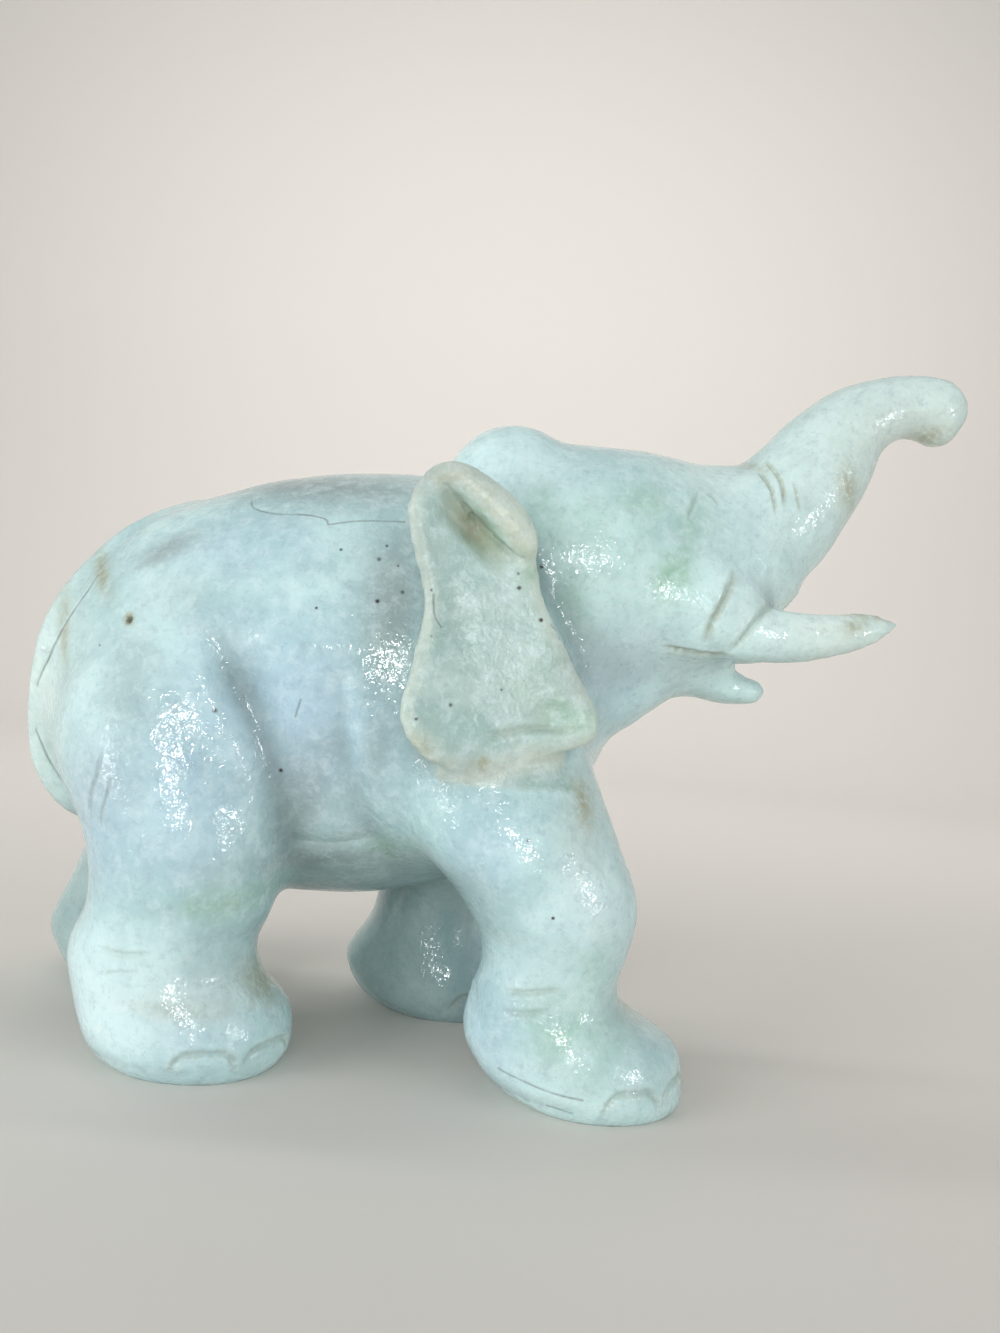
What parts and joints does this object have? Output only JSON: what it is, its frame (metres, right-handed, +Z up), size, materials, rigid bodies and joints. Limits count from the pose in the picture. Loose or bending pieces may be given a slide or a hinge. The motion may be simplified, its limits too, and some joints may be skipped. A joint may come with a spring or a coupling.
{
  "type": "carved jade elephant figurine",
  "caption": "Small walking elephant carved from one block of polished pale jade, trunk raised over short tusks, standing on four flat soles.",
  "frame": {"origin": "on the ground under the middle of the figure's footprint box", "axes": "+X the way the elephant walks, +Y its left side, +Z up"},
  "size_m": [0.1892, 0.0814, 0.1475],
  "materials": {
    "jade": "polished translucent stone, pale celadon with lavender-grey and green clouds, creamy ears, trunk and tusks, and brown stain in the grooves"
  },
  "bodies": {
    "root": {"elephant": "jade"}
  },
  "joints": []
}
